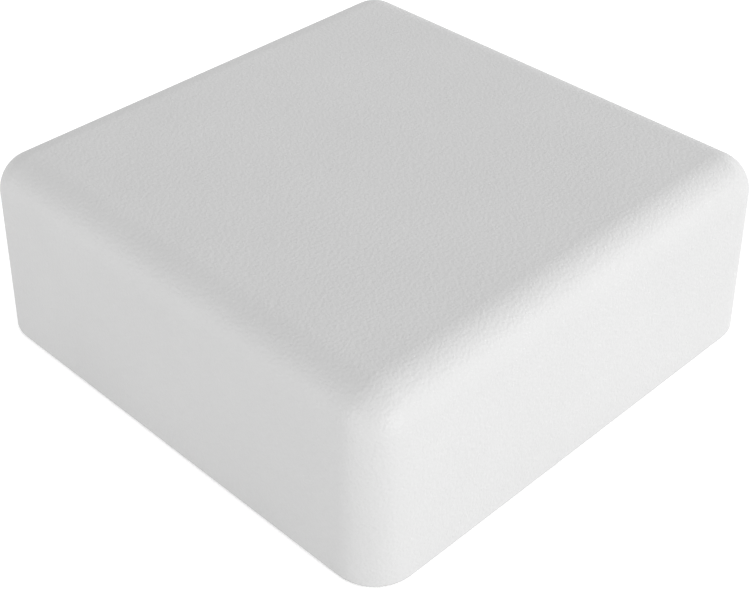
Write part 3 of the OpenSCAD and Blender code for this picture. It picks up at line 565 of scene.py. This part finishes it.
def tube(path, radius, sides):
    """A round tube along a path: each point is the path plus the radius times the cosine and sine of
    the angle round two directions square to it, and both ends are closed over a small rounding."""
    ahead = np.gradient(path, axis=0)
    ahead /= np.linalg.norm(ahead, axis=1, keepdims=True)
    side = np.cross(ahead, (0, 0, 1.0))
    side /= np.linalg.norm(side, axis=1, keepdims=True)
    up = np.cross(side, ahead)
    shrink = np.array([0, 0.8, 0.95])
    cap = radius * 0.25 * np.array([0, 0.1, 0.5])
    first = path[:1] + cap[:, None] * ahead[:1]
    last = path[-1:] - cap[::-1, None] * ahead[-1:]
    centres = np.concatenate([first, path[1:-1], last])
    widths = radius * np.concatenate([shrink, np.ones(len(path) - 2), shrink[::-1]])[:, None, None]
    side, up = (
        np.concatenate([np.repeat(v[:1], 3, 0), v[1:-1], np.repeat(v[-1:], 3, 0)]) for v in (side, up)
    )
    angle = np.linspace(0, TURN, sides, endpoint=False)[None, :, None]
    points = centres[:, None] + widths * (np.cos(angle) * side[:, None] + np.sin(angle) * up[:, None])
    return points.reshape(-1, 3), grid_quads(len(centres), sides)


def softened(name, node, width, material, body, dish=0.0):
    """A copy of a CAD node whose sharp edges are rounded by that width, as a moulded or pressed piece's
    are: its doubles are merged, its flat faces made whole, and a Bevel rounds the edges. A dish is how
    far the face that looks furthest out of the back sinks inside its rim, in three rings that each
    slope less than the last. A dish below zero is a dome."""
    work = bmesh.new()
    work.from_mesh(NODES[node].data)
    bmesh.ops.remove_doubles(work, verts=work.verts, dist=SAME_PLACE)
    bmesh.ops.dissolve_limit(work, angle_limit=0.01, verts=work.verts, edges=work.edges)
    bmesh.ops.recalc_face_normals(work, faces=work.faces)
    if dish:
        face = max(work.faces, key=lambda f: f.calc_center_median().y)
        radius = math.sqrt(face.calc_area() / math.pi)
        ring = 0.22 * radius
        for share in DISH_STEPS:
            bmesh.ops.inset_region(work, faces=[face], thickness=ring, depth=-share * dish)
    mesh = bpy.data.meshes.new(name)
    work.to_mesh(mesh)
    work.free()
    if "custom_normal" in mesh.attributes:
        mesh.attributes.remove(mesh.attributes["custom_normal"])
    piece = as_piece(name, mesh, material, body, [node])
    bevel = piece.modifiers.new("rounded_edges", "BEVEL")
    bevel.width, bevel.segments = width, 3
    bevel.limit_method, bevel.angle_limit = "ANGLE", SHARP
    bevel.harden_normals = True


def screw(shank_r, shank_len, head_r, head_h, look):
    """A machine screw along +Z: hexagon socket, rounded head and a rolled thread. In the socket the
    radius at an angle is the hexagon's flat distance over the cosine of the angle from the flat's
    middle; on the shank it dips by the thread's depth where angle over a full turn less height over
    pitch is a whole number."""
    flat = head_r * 0.5 * math.cos(math.pi / 6)  # the hexagon's corners are at half the head's radius
    deep = -head_h + 0.6 * head_h  # the socket's floor
    edge = look.edge
    turns = np.arange(0, shank_len - 1.2 * look.pitch, look.pitch / 6)
    socket = [(0, deep), (flat * 0.999, deep), (flat, deep), (flat, -head_h)]
    arc = np.linspace(0, math.pi / 2, 5)
    head = np.stack([head_r - edge * (1 - np.sin(arc)), -head_h + edge * (1 - np.cos(arc))], -1)
    shank = np.stack([np.full(len(turns), shank_r), turns + 0.1 * look.pitch], -1)
    tip = [(shank_r, shank_len - look.pitch), (shank_r * 0.72, shank_len), (0, shank_len)]
    under = [(head_r, 0), (shank_r, 0)]
    rows = np.concatenate([socket, head, under, shank, tip])
    row = np.arange(len(rows))[:, None]
    shank_from = len(socket) + len(head) + len(under)

    def ripple(angle, radius, height):
        """The hexagon's corners on the socket's rows and the thread's groove on the shank's."""
        hexagon = flat / np.cos((angle + math.pi / 6) % (math.pi / 3) - math.pi / 6) - flat
        in_socket = (row < len(socket)) & (radius > 0)
        on_shank = (row >= shank_from) & (height > 0) & (height <= turns[-1] + look.pitch)
        phase = (angle / TURN - height / look.pitch) % 1.0
        groove = -look.depth * np.abs(2 * phase - 1) ** 1.5
        fade = np.clip((shank_len - height) / look.pitch - 1, 0, 1) * np.clip(height / look.pitch, 0, 1)
        return np.where(in_socket, hexagon, 0.0) + np.where(on_shank, groove * fade, 0.0)

    return turned(rows, 36, ripple)


def insert(outer_r, inner_r, h, look):
    """A knurled ring along +Z: the outer radius dips by the knurl's depth between ridges that lean one
    way in the lower band and the other way in the upper one."""
    rim = outer_r - 2 * look.knurl_depth
    slope = outer_r - look.knurl_depth
    waist = outer_r - 2.4 * look.knurl_depth
    rows = np.array([
        (inner_r, 0), (rim, 0), (slope, 0.04 * h),
        *[(outer_r, z * h) for z in np.linspace(0.06, 0.42, 7)],
        (waist, 0.44 * h), (waist, (0.44 + 0.12) * h),
        *[(outer_r, z * h) for z in np.linspace(0.58, 0.94, 7)],
        (slope, 0.96 * h), (rim, h), (inner_r, h),
    ])

    def ripple(angle, radius, height):
        """Leaning ridges on the rows that are at the outer radius."""
        lean = np.where(height < h / 2, 1, -1) * height / h * 0.5
        wave = np.abs(((angle / TURN + lean / 3) * look.knurls) % 1.0 * 2 - 1)
        return np.where(radius > outer_r - 1e-9, -look.knurl_depth * wave, 0.0)

    columns = 4 * look.knurls
    points, _ = turned(rows, columns, ripple)
    return points, grid_quads(len(rows), columns, close_rows=True)


def corner_places(node, reach, height):
    """The four corners of a node's box, in by reach, at that height: where its like pieces stand."""
    low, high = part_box(node)
    across, along = (low.x + reach, high.x - reach), (low.y + reach, high.y - reach)
    return [(x, y, height) for x in across for y in along]


# Operators: one for each group of pieces


class TRACKER_OT_case(bpy.types.Operator):
    """Gives the moulded cover and base their grained finish, and the seal its rubber"""

    bl_idname = "tracker.case"
    bl_label = "Case"

    def execute(self, context):
        look = context.scene.tracker_case
        dress(moulded_shell("moulded_shell", look.shell, look), "top_cover", "base_cover")
        dress(rubber("seal_rubber", look.rubber), "cover_seal")
        return {"FINISHED"}


class TRACKER_OT_fasteners(bpy.types.Operator):
    """Makes the threaded screws and the knurled inserts"""

    bl_idname = "tracker.fasteners"
    bl_label = "Screws and inserts"

    def execute(self, context):
        look = context.scene.tracker_fasteners
        steel = metal("screw_zinc", (0.56, 0.57, 0.58), 0.3)
        brass = metal("insert_brass", (0.62, 0.42, 0.15), 0.28)
        sizes = (  # node, then shank radius and length, head radius and height in millimetres
            ("case_screws", 0.95, 8, 1.9, 1.2),
            ("board_screws", 0.8, 5.5, 1.5, 1.0),
        )
        for node, shank_r, shank_len, head_r, head_h in sizes:
            low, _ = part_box(node)
            shape = screw(shank_r * MM, shank_len * MM, head_r * MM, head_h * MM, look)
            places = corner_places(node, head_r * MM, low.z + head_h * MM)
            new_piece("threaded_" + node, copied(shape, places), steel, "case", [node])
        low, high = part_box("threaded_inserts")
        outer_r, inner_r = 1.7 * MM, 1.0 * MM
        ring = insert(outer_r, inner_r, high.z - low.z, look)
        new_piece("knurled_inserts", copied(ring, corner_places("threaded_inserts", outer_r, low.z)),
                  brass, "case", ["threaded_inserts"])
        return {"FINISHED"}


class TRACKER_OT_port(bpy.types.Operator):
    """Finishes the port door and what sits behind it"""

    bl_idname = "tracker.port"
    bl_label = "Port"

    def execute(self, context):
        look, case = context.scene.tracker_port, context.scene.tracker_case
        white = moulded("plunger_plastic", (0.7, 0.68, 0.6), 0.45)
        shapes = (
            ("door", "port_door", 0.2, moulded_shell("door_plastic", case.door, case), "door", "port_door"),
            ("door_plug", "door_seal", 0.3, rubber("door_rubber", case.rubber), "door", "seal_rubber"),
            ("socket", "socket_shell", 0.1,
             metal("socket_steel", (0.66, 0.66, 0.67), 0.24, (1.0, 0.1, 1.0)), "case", "can_steel"),
            ("tongue", "socket_tongue", 0.08, moulded("tongue_plastic", look.tongue, 0.42), "case",
             "tongue_black"),
            ("button", "power_button", 0.25, moulded("button_plastic", look.button, 0.36), "button",
             "button_grey"),
            ("plunger", "switch_plunger", 0.1, white, "button", "connector_white"),
            ("switch", "switch_body", 0.12, moulded("switch_plastic", look.tongue, 0.4), "case",
             "chip_black"),
            ("lamp", "status_led", 0.1, moulded("lamp_body", look.lamp, 0.32), "case", "led_white"),
            ("lamp_pipe", "light_pipe", 0.2, clear_acrylic("light_pipe_acrylic", look.lens), "case",
             "light_pipe"),
        )
        dishes = {"power_button": 0.3 * MM, "light_pipe": -0.1 * MM}
        for name, node, width, material, body, slot in shapes:
            softened(name, node, width * MM, material, body, dishes.get(node, 0.0))
        dress(gold_plate("contact_gold", (0.86, 0.6, 0.24)), "socket_contacts")
        return {"FINISHED"}


class TRACKER_OT_board(bpy.types.Operator):
    """Finishes the board, its chips and its small parts"""

    bl_idname = "tracker.board"
    bl_label = "Board"

    def execute(self, context):
        look = context.scene.tracker_board
        dress(solder_mask("board_mask", look, look.mask, look.track), "main_board")
        epoxy = chip_epoxy("chip_epoxy", look.chip)
        for node in ("processor_chip", "sim_chip", "motion_sensor", "charger_chip"):
            softened(node + "_package", node, 0.07 * MM, epoxy, "case")
        shapes = (
            ("inductors", "power_inductors", 0.16, "ferrite",
             ceramic("inductor_ferrite", (0.045, 0.045, 0.048), (0.02, 0.02, 0.022), 0.6)),
            ("capacitors", "bulk_capacitors", 0.14, "tantalum",
             moulded("capacitor_moulding", (0.52, 0.27, 0.03), 0.34)),
            ("crystal", "crystal_can", 0.09, "can_steel",
             metal("crystal_nickel", (0.6, 0.6, 0.58), 0.3, (1.0, 0.08, 1.0))),
        )
        for name, node, width, slot, material in shapes:
            softened(name, node, width * MM, material, "case")
        self.passives()
        return {"FINISHED"}

    def passives(self):
        """Each chip resistor or capacitor as a ceramic body between two tinned ends: the ends are the
        solid's outer quarters, and the body stands in from them by a little all round."""
        bodies, ends = [], []
        for low, high in solid_boxes("chip_passives"):
            long = 0 if high.x - low.x > high.y - low.y else 1
            span, inset = high[long] - low[long], 0.03 * MM
            body_low, body_high = low + Vector((inset, inset, 0)), high - Vector((inset,) * 3)
            body_low[long], body_high[long] = low[long] + 0.2 * span, high[long] - 0.2 * span
            bodies.append(boxed(body_low, body_high, 0.02 * MM, 0.02 * MM, 0.0, 2, 2, 1))
            for start in (0.0, 0.75):
                end_low, end_high = low.copy(), high.copy()
                end_low[long] = low[long] + start * span
                end_high[long] = end_low[long] + 0.25 * span
                ends.append(boxed(end_low, end_high, 0.05 * MM, 0.05 * MM, 0.0, 3, 3, 1))
        fired = ceramic("passive_ceramic", (0.36, 0.25, 0.15), (0.28, 0.18, 0.1), 0.5)
        tinned = metal("terminal_tin", (0.68, 0.68, 0.67), 0.34)
        new_piece("passive_bodies", joined(*bodies), fired, "case", ["chip_passives"])
        new_piece("passive_ends", joined(*ends), tinned, "case")


class TRACKER_OT_radio(bpy.types.Operator):
    """Finishes the antennas and the two radio modules"""

    bl_idname = "tracker.radio"
    bl_label = "Antennas and modules"

    def execute(self, context):
        look = context.scene.tracker_board
        mask = solder_mask("module_mask", look, (0.004, 0.018, 0.04), (0.01, 0.035, 0.07))
        steel = metal("can_steel", (0.62, 0.62, 0.62), 0.3, (0.07, 1.0, 1.0))
        shapes = (
            ("patch_tape", "antenna_tape", 0.05, "adhesive_tape",
             paper_tape("antenna_tape_white", (0.74, 0.74, 0.7))),
            ("patch_antenna", "antenna_ceramic", 0.35, "antenna_ceramic",
             ceramic("patch_ceramic", (0.42, 0.31, 0.2), (0.5, 0.4, 0.28), 0.55)),
            ("patch_electrode", "antenna_electrode", 0.04, "silver_plate",
             metal("patch_silver", (0.8, 0.79, 0.76), 0.36)),
            ("network_antenna", "cellular_antenna", 0.22, "antenna_block",
             ceramic("antenna_block", (0.68, 0.66, 0.56), (0.76, 0.74, 0.66), 0.6)),
            ("modem_board", "modem_base", 0.08, "module_board", mask),
            ("gnss_board", "gnss_base", 0.08, "module_board", mask),
            ("modem_shield", "modem_can", 0.22, "can_steel", steel),
            ("gnss_shield", "gnss_can", 0.22, "can_steel", steel),
        )
        for name, node, width, slot, material in shapes:
            softened(name, node, width * MM, material, "case")
        dress(metal("pin_tin", (0.66, 0.66, 0.66), 0.3), "antenna_pin", "header_pins")
        dress(gold_plate("antenna_gold", (0.8, 0.55, 0.2)), "cellular_antenna_track")
        return {"FINISHED"}


class TRACKER_OT_battery(bpy.types.Operator):
    """Finishes the battery pack, its pads and its plug"""

    bl_idname = "tracker.battery"
    bl_label = "Battery"

    def execute(self, context):
        look, board = context.scene.tracker_battery, context.scene.tracker_board
        pouch = boxed(*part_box("battery_cell"), 4 * MM, 2.4 * MM, 0.35 * MM)
        new_piece("pouch_cell", pouch, foil_pouch("pouch_foil", look.pouch), "case",
                  ["battery_cell"])
        mask = solder_mask("end_board_mask", board, board.mask, board.track)
        softened("end_board", "battery_end_board", 0.1 * MM, mask, "case")
        softened("end_film", "battery_tape", 0.3 * MM, film("amber_film", look.film), "case")
        soft = foam("pad_foam", look.foam)
        for node in ("battery_pad_lower", "battery_pad_upper"):
            pad = boxed(*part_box(node), 1.5 * MM, 0.28 * MM, 0.06 * MM)
            new_piece(node + "_foam", pad, soft, "case", [node])
        self.lead("plus", 1, look.plus, look)
        self.lead("minus", -1, look.minus, look)
        white = moulded("connector_nylon", (0.74, 0.72, 0.64), 0.42)
        softened("plug_housing", "battery_plug", 0.15 * MM, white, "case")
        softened("header_housing", "battery_header", 0.12 * MM, white, "case")
        return {"FINISHED"}

    def lead(self, name, way, tint, look):
        """A soft round lead from the end board, round the cell's corner to the plug."""
        node = "battery_lead_" + name
        start = np.array([27.2 + way, -18.45, 8.2])  # at the end board, in millimetres
        finish = np.array([13.05, -27.6 - way, 11.8])  # at the plug
        off_board, to_plug = (0, 3, 0), (3, 0, 0)  # it leaves and arrives straight over this length
        knots = [
            start + off_board, start, start - off_board, (26.6 + 0.7 * way, -24.4 - 0.7 * way, 9.0),
            (22.0, -27.6 - way, 10.8), finish + to_plug, finish, finish - to_plug,
        ]
        surface = tube(smooth_path(knots, 10) * MM, 0.6 * MM, look.lead_sides)
        new_piece("lead_" + name, surface, moulded(name + "_insulation", tint, 0.36), "case", [node])


class TRACKER_OT_stage(bpy.types.Operator):
    """Sets the pale floor, the soft lights and the camera"""

    bl_idname = "tracker.stage"
    bl_label = "Stage"

    def execute(self, context):
        look = context.scene.tracker_stage
        scene = context.scene
        scene.view_settings.view_transform = "Standard"
        self.floor(scene, look)
        self.sky(scene, look)
        panels = (  # name, azimuth and elevation in degrees, side in metres
            ("front", 270, 8, 0.4), ("right", 315, 20, 1.0), ("left", 180, 8, 0.4),
            ("far_right", 0, 20, 1.0), ("far_left", 135, 8, 0.4), ("back", 45, 20, 1.0),
        )
        for name, azimuth, elevation, size in panels:
            self.softbox(scene, name, azimuth, elevation, size, getattr(look, name))
        self.camera(scene, look)
        return {"FINISHED"}

    def floor(self, scene, look):
        """A flat square under the tracker. It glows a little, so that it stays pale in shade, and light
        linking keeps that glow to the floor itself."""
        finish = Finish("floor_paper", look.floor, 0.8, Specular_IOR_Level=0.0)
        finish.shader.inputs["Emission Color"].default_value = (1.0, 1.0, 1.0, 1.0)
        finish.shader.inputs["Emission Strength"].default_value = look.floor_glow
        finish.mottle(look.floor, 0.2, 0.004)
        line = np.linspace(-FLOOR_REACH, FLOOR_REACH, FLOOR_LINES)
        x, y = np.meshgrid(line, line, indexing="ij")
        points = np.stack([x, y, 0 * x - 0.02 * MM], -1).reshape(-1, 3)
        quads = grid_quads(FLOOR_LINES, FLOOR_LINES, close_columns=False)[:, ::-1]
        mesh = bpy.data.meshes.new("floor")
        mesh.from_pydata(points.tolist(), [], quads.tolist())
        mesh.materials.append(finish.material)
        floor = bpy.data.objects.new("floor", mesh)
        scene.collection.objects.link(floor)
        lit = bpy.data.collections.new("lit_by_floor")
        lit.objects.link(floor)
        floor.light_linking.receiver_collection = lit

    def sky(self, scene, look):
        """Even white light from all round."""
        world = bpy.data.worlds.new("studio")
        scene.world = world
        world.use_nodes = True
        light = world.node_tree.nodes["Background"]
        light.inputs["Color"].default_value = (1.0, 1.0, 1.0, 1.0)
        light.inputs["Strength"].default_value = look.sky

    def softbox(self, scene, name, azimuth, elevation, size, power):
        """A square area light, in that direction from +X in degrees, that faces the origin."""
        a, e = math.radians(azimuth), math.radians(elevation)
        toward = Vector((math.cos(a) * math.cos(e), math.sin(a) * math.cos(e), math.sin(e)))
        place = PANEL_DISTANCE * toward
        light = bpy.data.lights.new(name, "AREA")
        light.size = size
        light.energy = power
        box = bpy.data.objects.new(name, light)
        scene.collection.objects.link(box)
        box.location = place
        box.rotation_euler = place.to_track_quat("Z", "Y").to_euler()

    def camera(self, scene, look):
        """A camera at that azimuth, elevation, distance and roll: back points from what it looks at to
        the camera, right is level, and both turn by the roll about back."""
        a, e, roll = (math.radians(v) for v in (look.azimuth, look.elevation, look.roll))
        back = Vector((math.sin(a) * math.cos(e), -math.cos(a) * math.cos(e), math.sin(e)))
        right = Vector((math.cos(a), math.sin(a), 0.0))
        up = back.cross(right)
        sideways = right * math.cos(roll) + up * math.sin(roll)
        upwards = up * math.cos(roll) - right * math.sin(roll)
        data = bpy.data.cameras.new("camera")
        data.sensor_width = 36.0
        data.lens = look.lens
        data.clip_start, data.clip_end = 0.01, 20.0
        camera = bpy.data.objects.new("camera", data)
        scene.collection.objects.link(camera)
        turn = Matrix((sideways, upwards, back)).transposed().to_4x4()
        aim = Vector((0.0, -0.1 * MM, 4.2 * MM))
        camera.matrix_world = Matrix.Translation(aim + back * look.distance) @ turn
        scene.camera = camera


OPERATORS = (
    TRACKER_OT_case, TRACKER_OT_fasteners, TRACKER_OT_port, TRACKER_OT_board, TRACKER_OT_radio,
    TRACKER_OT_battery, TRACKER_OT_stage,
)
LOOKS = {
    "tracker_case": CaseLook, "tracker_port": PortLook, "tracker_board": BoardLook,
    "tracker_battery": BatteryLook, "tracker_fasteners": FastenerLook, "tracker_stage": StageLook,
}


class TRACKER_PT_looks(bpy.types.Panel):
    """Lists the tracker's looks and the steps that make them"""

    bl_idname = "TRACKER_PT_looks"
    bl_label = "Tracker"
    bl_space_type = "VIEW_3D"
    bl_region_type = "UI"
    bl_category = "Tracker"

    def draw(self, context):
        for name, kind in LOOKS.items():
            box = self.layout.box()
            box.label(text=kind.__doc__)
            for key in kind.__annotations__:
                box.prop(getattr(context.scene, name), key)
        for operator in OPERATORS:
            self.layout.operator(operator.bl_idname)


def register():
    """Registers the looks, the operators and the panel."""
    for kind in (*LOOKS.values(), *OPERATORS, TRACKER_PT_looks):
        bpy.utils.register_class(kind)
    for name, kind in LOOKS.items():
        setattr(bpy.types.Scene, name, PointerProperty(type=kind))


def unregister():
    """Takes them all away again."""
    for name in LOOKS:
        delattr(bpy.types.Scene, name)
    for kind in (TRACKER_PT_looks, *reversed(OPERATORS), *reversed(LOOKS.values())):
        bpy.utils.unregister_class(kind)


def main():
    """Dresses the tracker."""
    register()
    bpy.ops.tracker.stage()
    bpy.ops.tracker.case()
    bpy.ops.tracker.fasteners()
    bpy.ops.tracker.port()
    bpy.ops.tracker.board()
    bpy.ops.tracker.radio()
    bpy.ops.tracker.battery()


if __name__ == "__main__":
    main()
